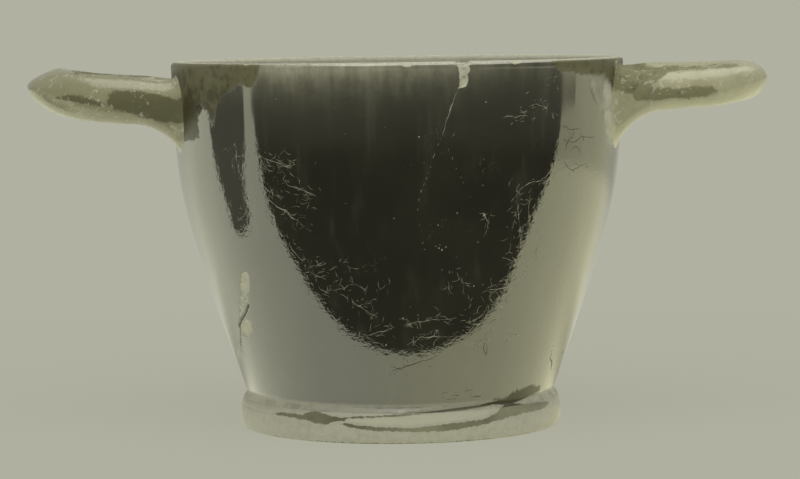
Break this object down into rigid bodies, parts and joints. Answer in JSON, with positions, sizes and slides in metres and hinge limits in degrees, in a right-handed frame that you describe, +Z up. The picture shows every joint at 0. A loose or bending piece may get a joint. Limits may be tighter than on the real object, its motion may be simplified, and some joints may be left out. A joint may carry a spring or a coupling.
{
  "type": "two-handled drinking cup",
  "caption": "Deep flaring pottery cup with a horizontal loop handle on each side, level with the lip, on a low rounded foot ring.",
  "frame": {"origin": "on the table at the centre of the foot ring's resting circle", "axes": "+Z up along the cup's axis, +X towards the right handle, -Y towards the side seen in front"},
  "size_m": [0.344, 0.2098, 0.17],
  "materials": {
    "black_gloss": "fired black gloss slip on clay, scratched and chipped",
    "worn_gloss": "fired black gloss slip on clay, rubbed thin and specked with deposit"
  },
  "bodies": {
    "root": {"bowl": "black_gloss", "foot_ring": "black_gloss", "handle_left": "worn_gloss", "handle_right": "worn_gloss"}
  },
  "joints": []
}
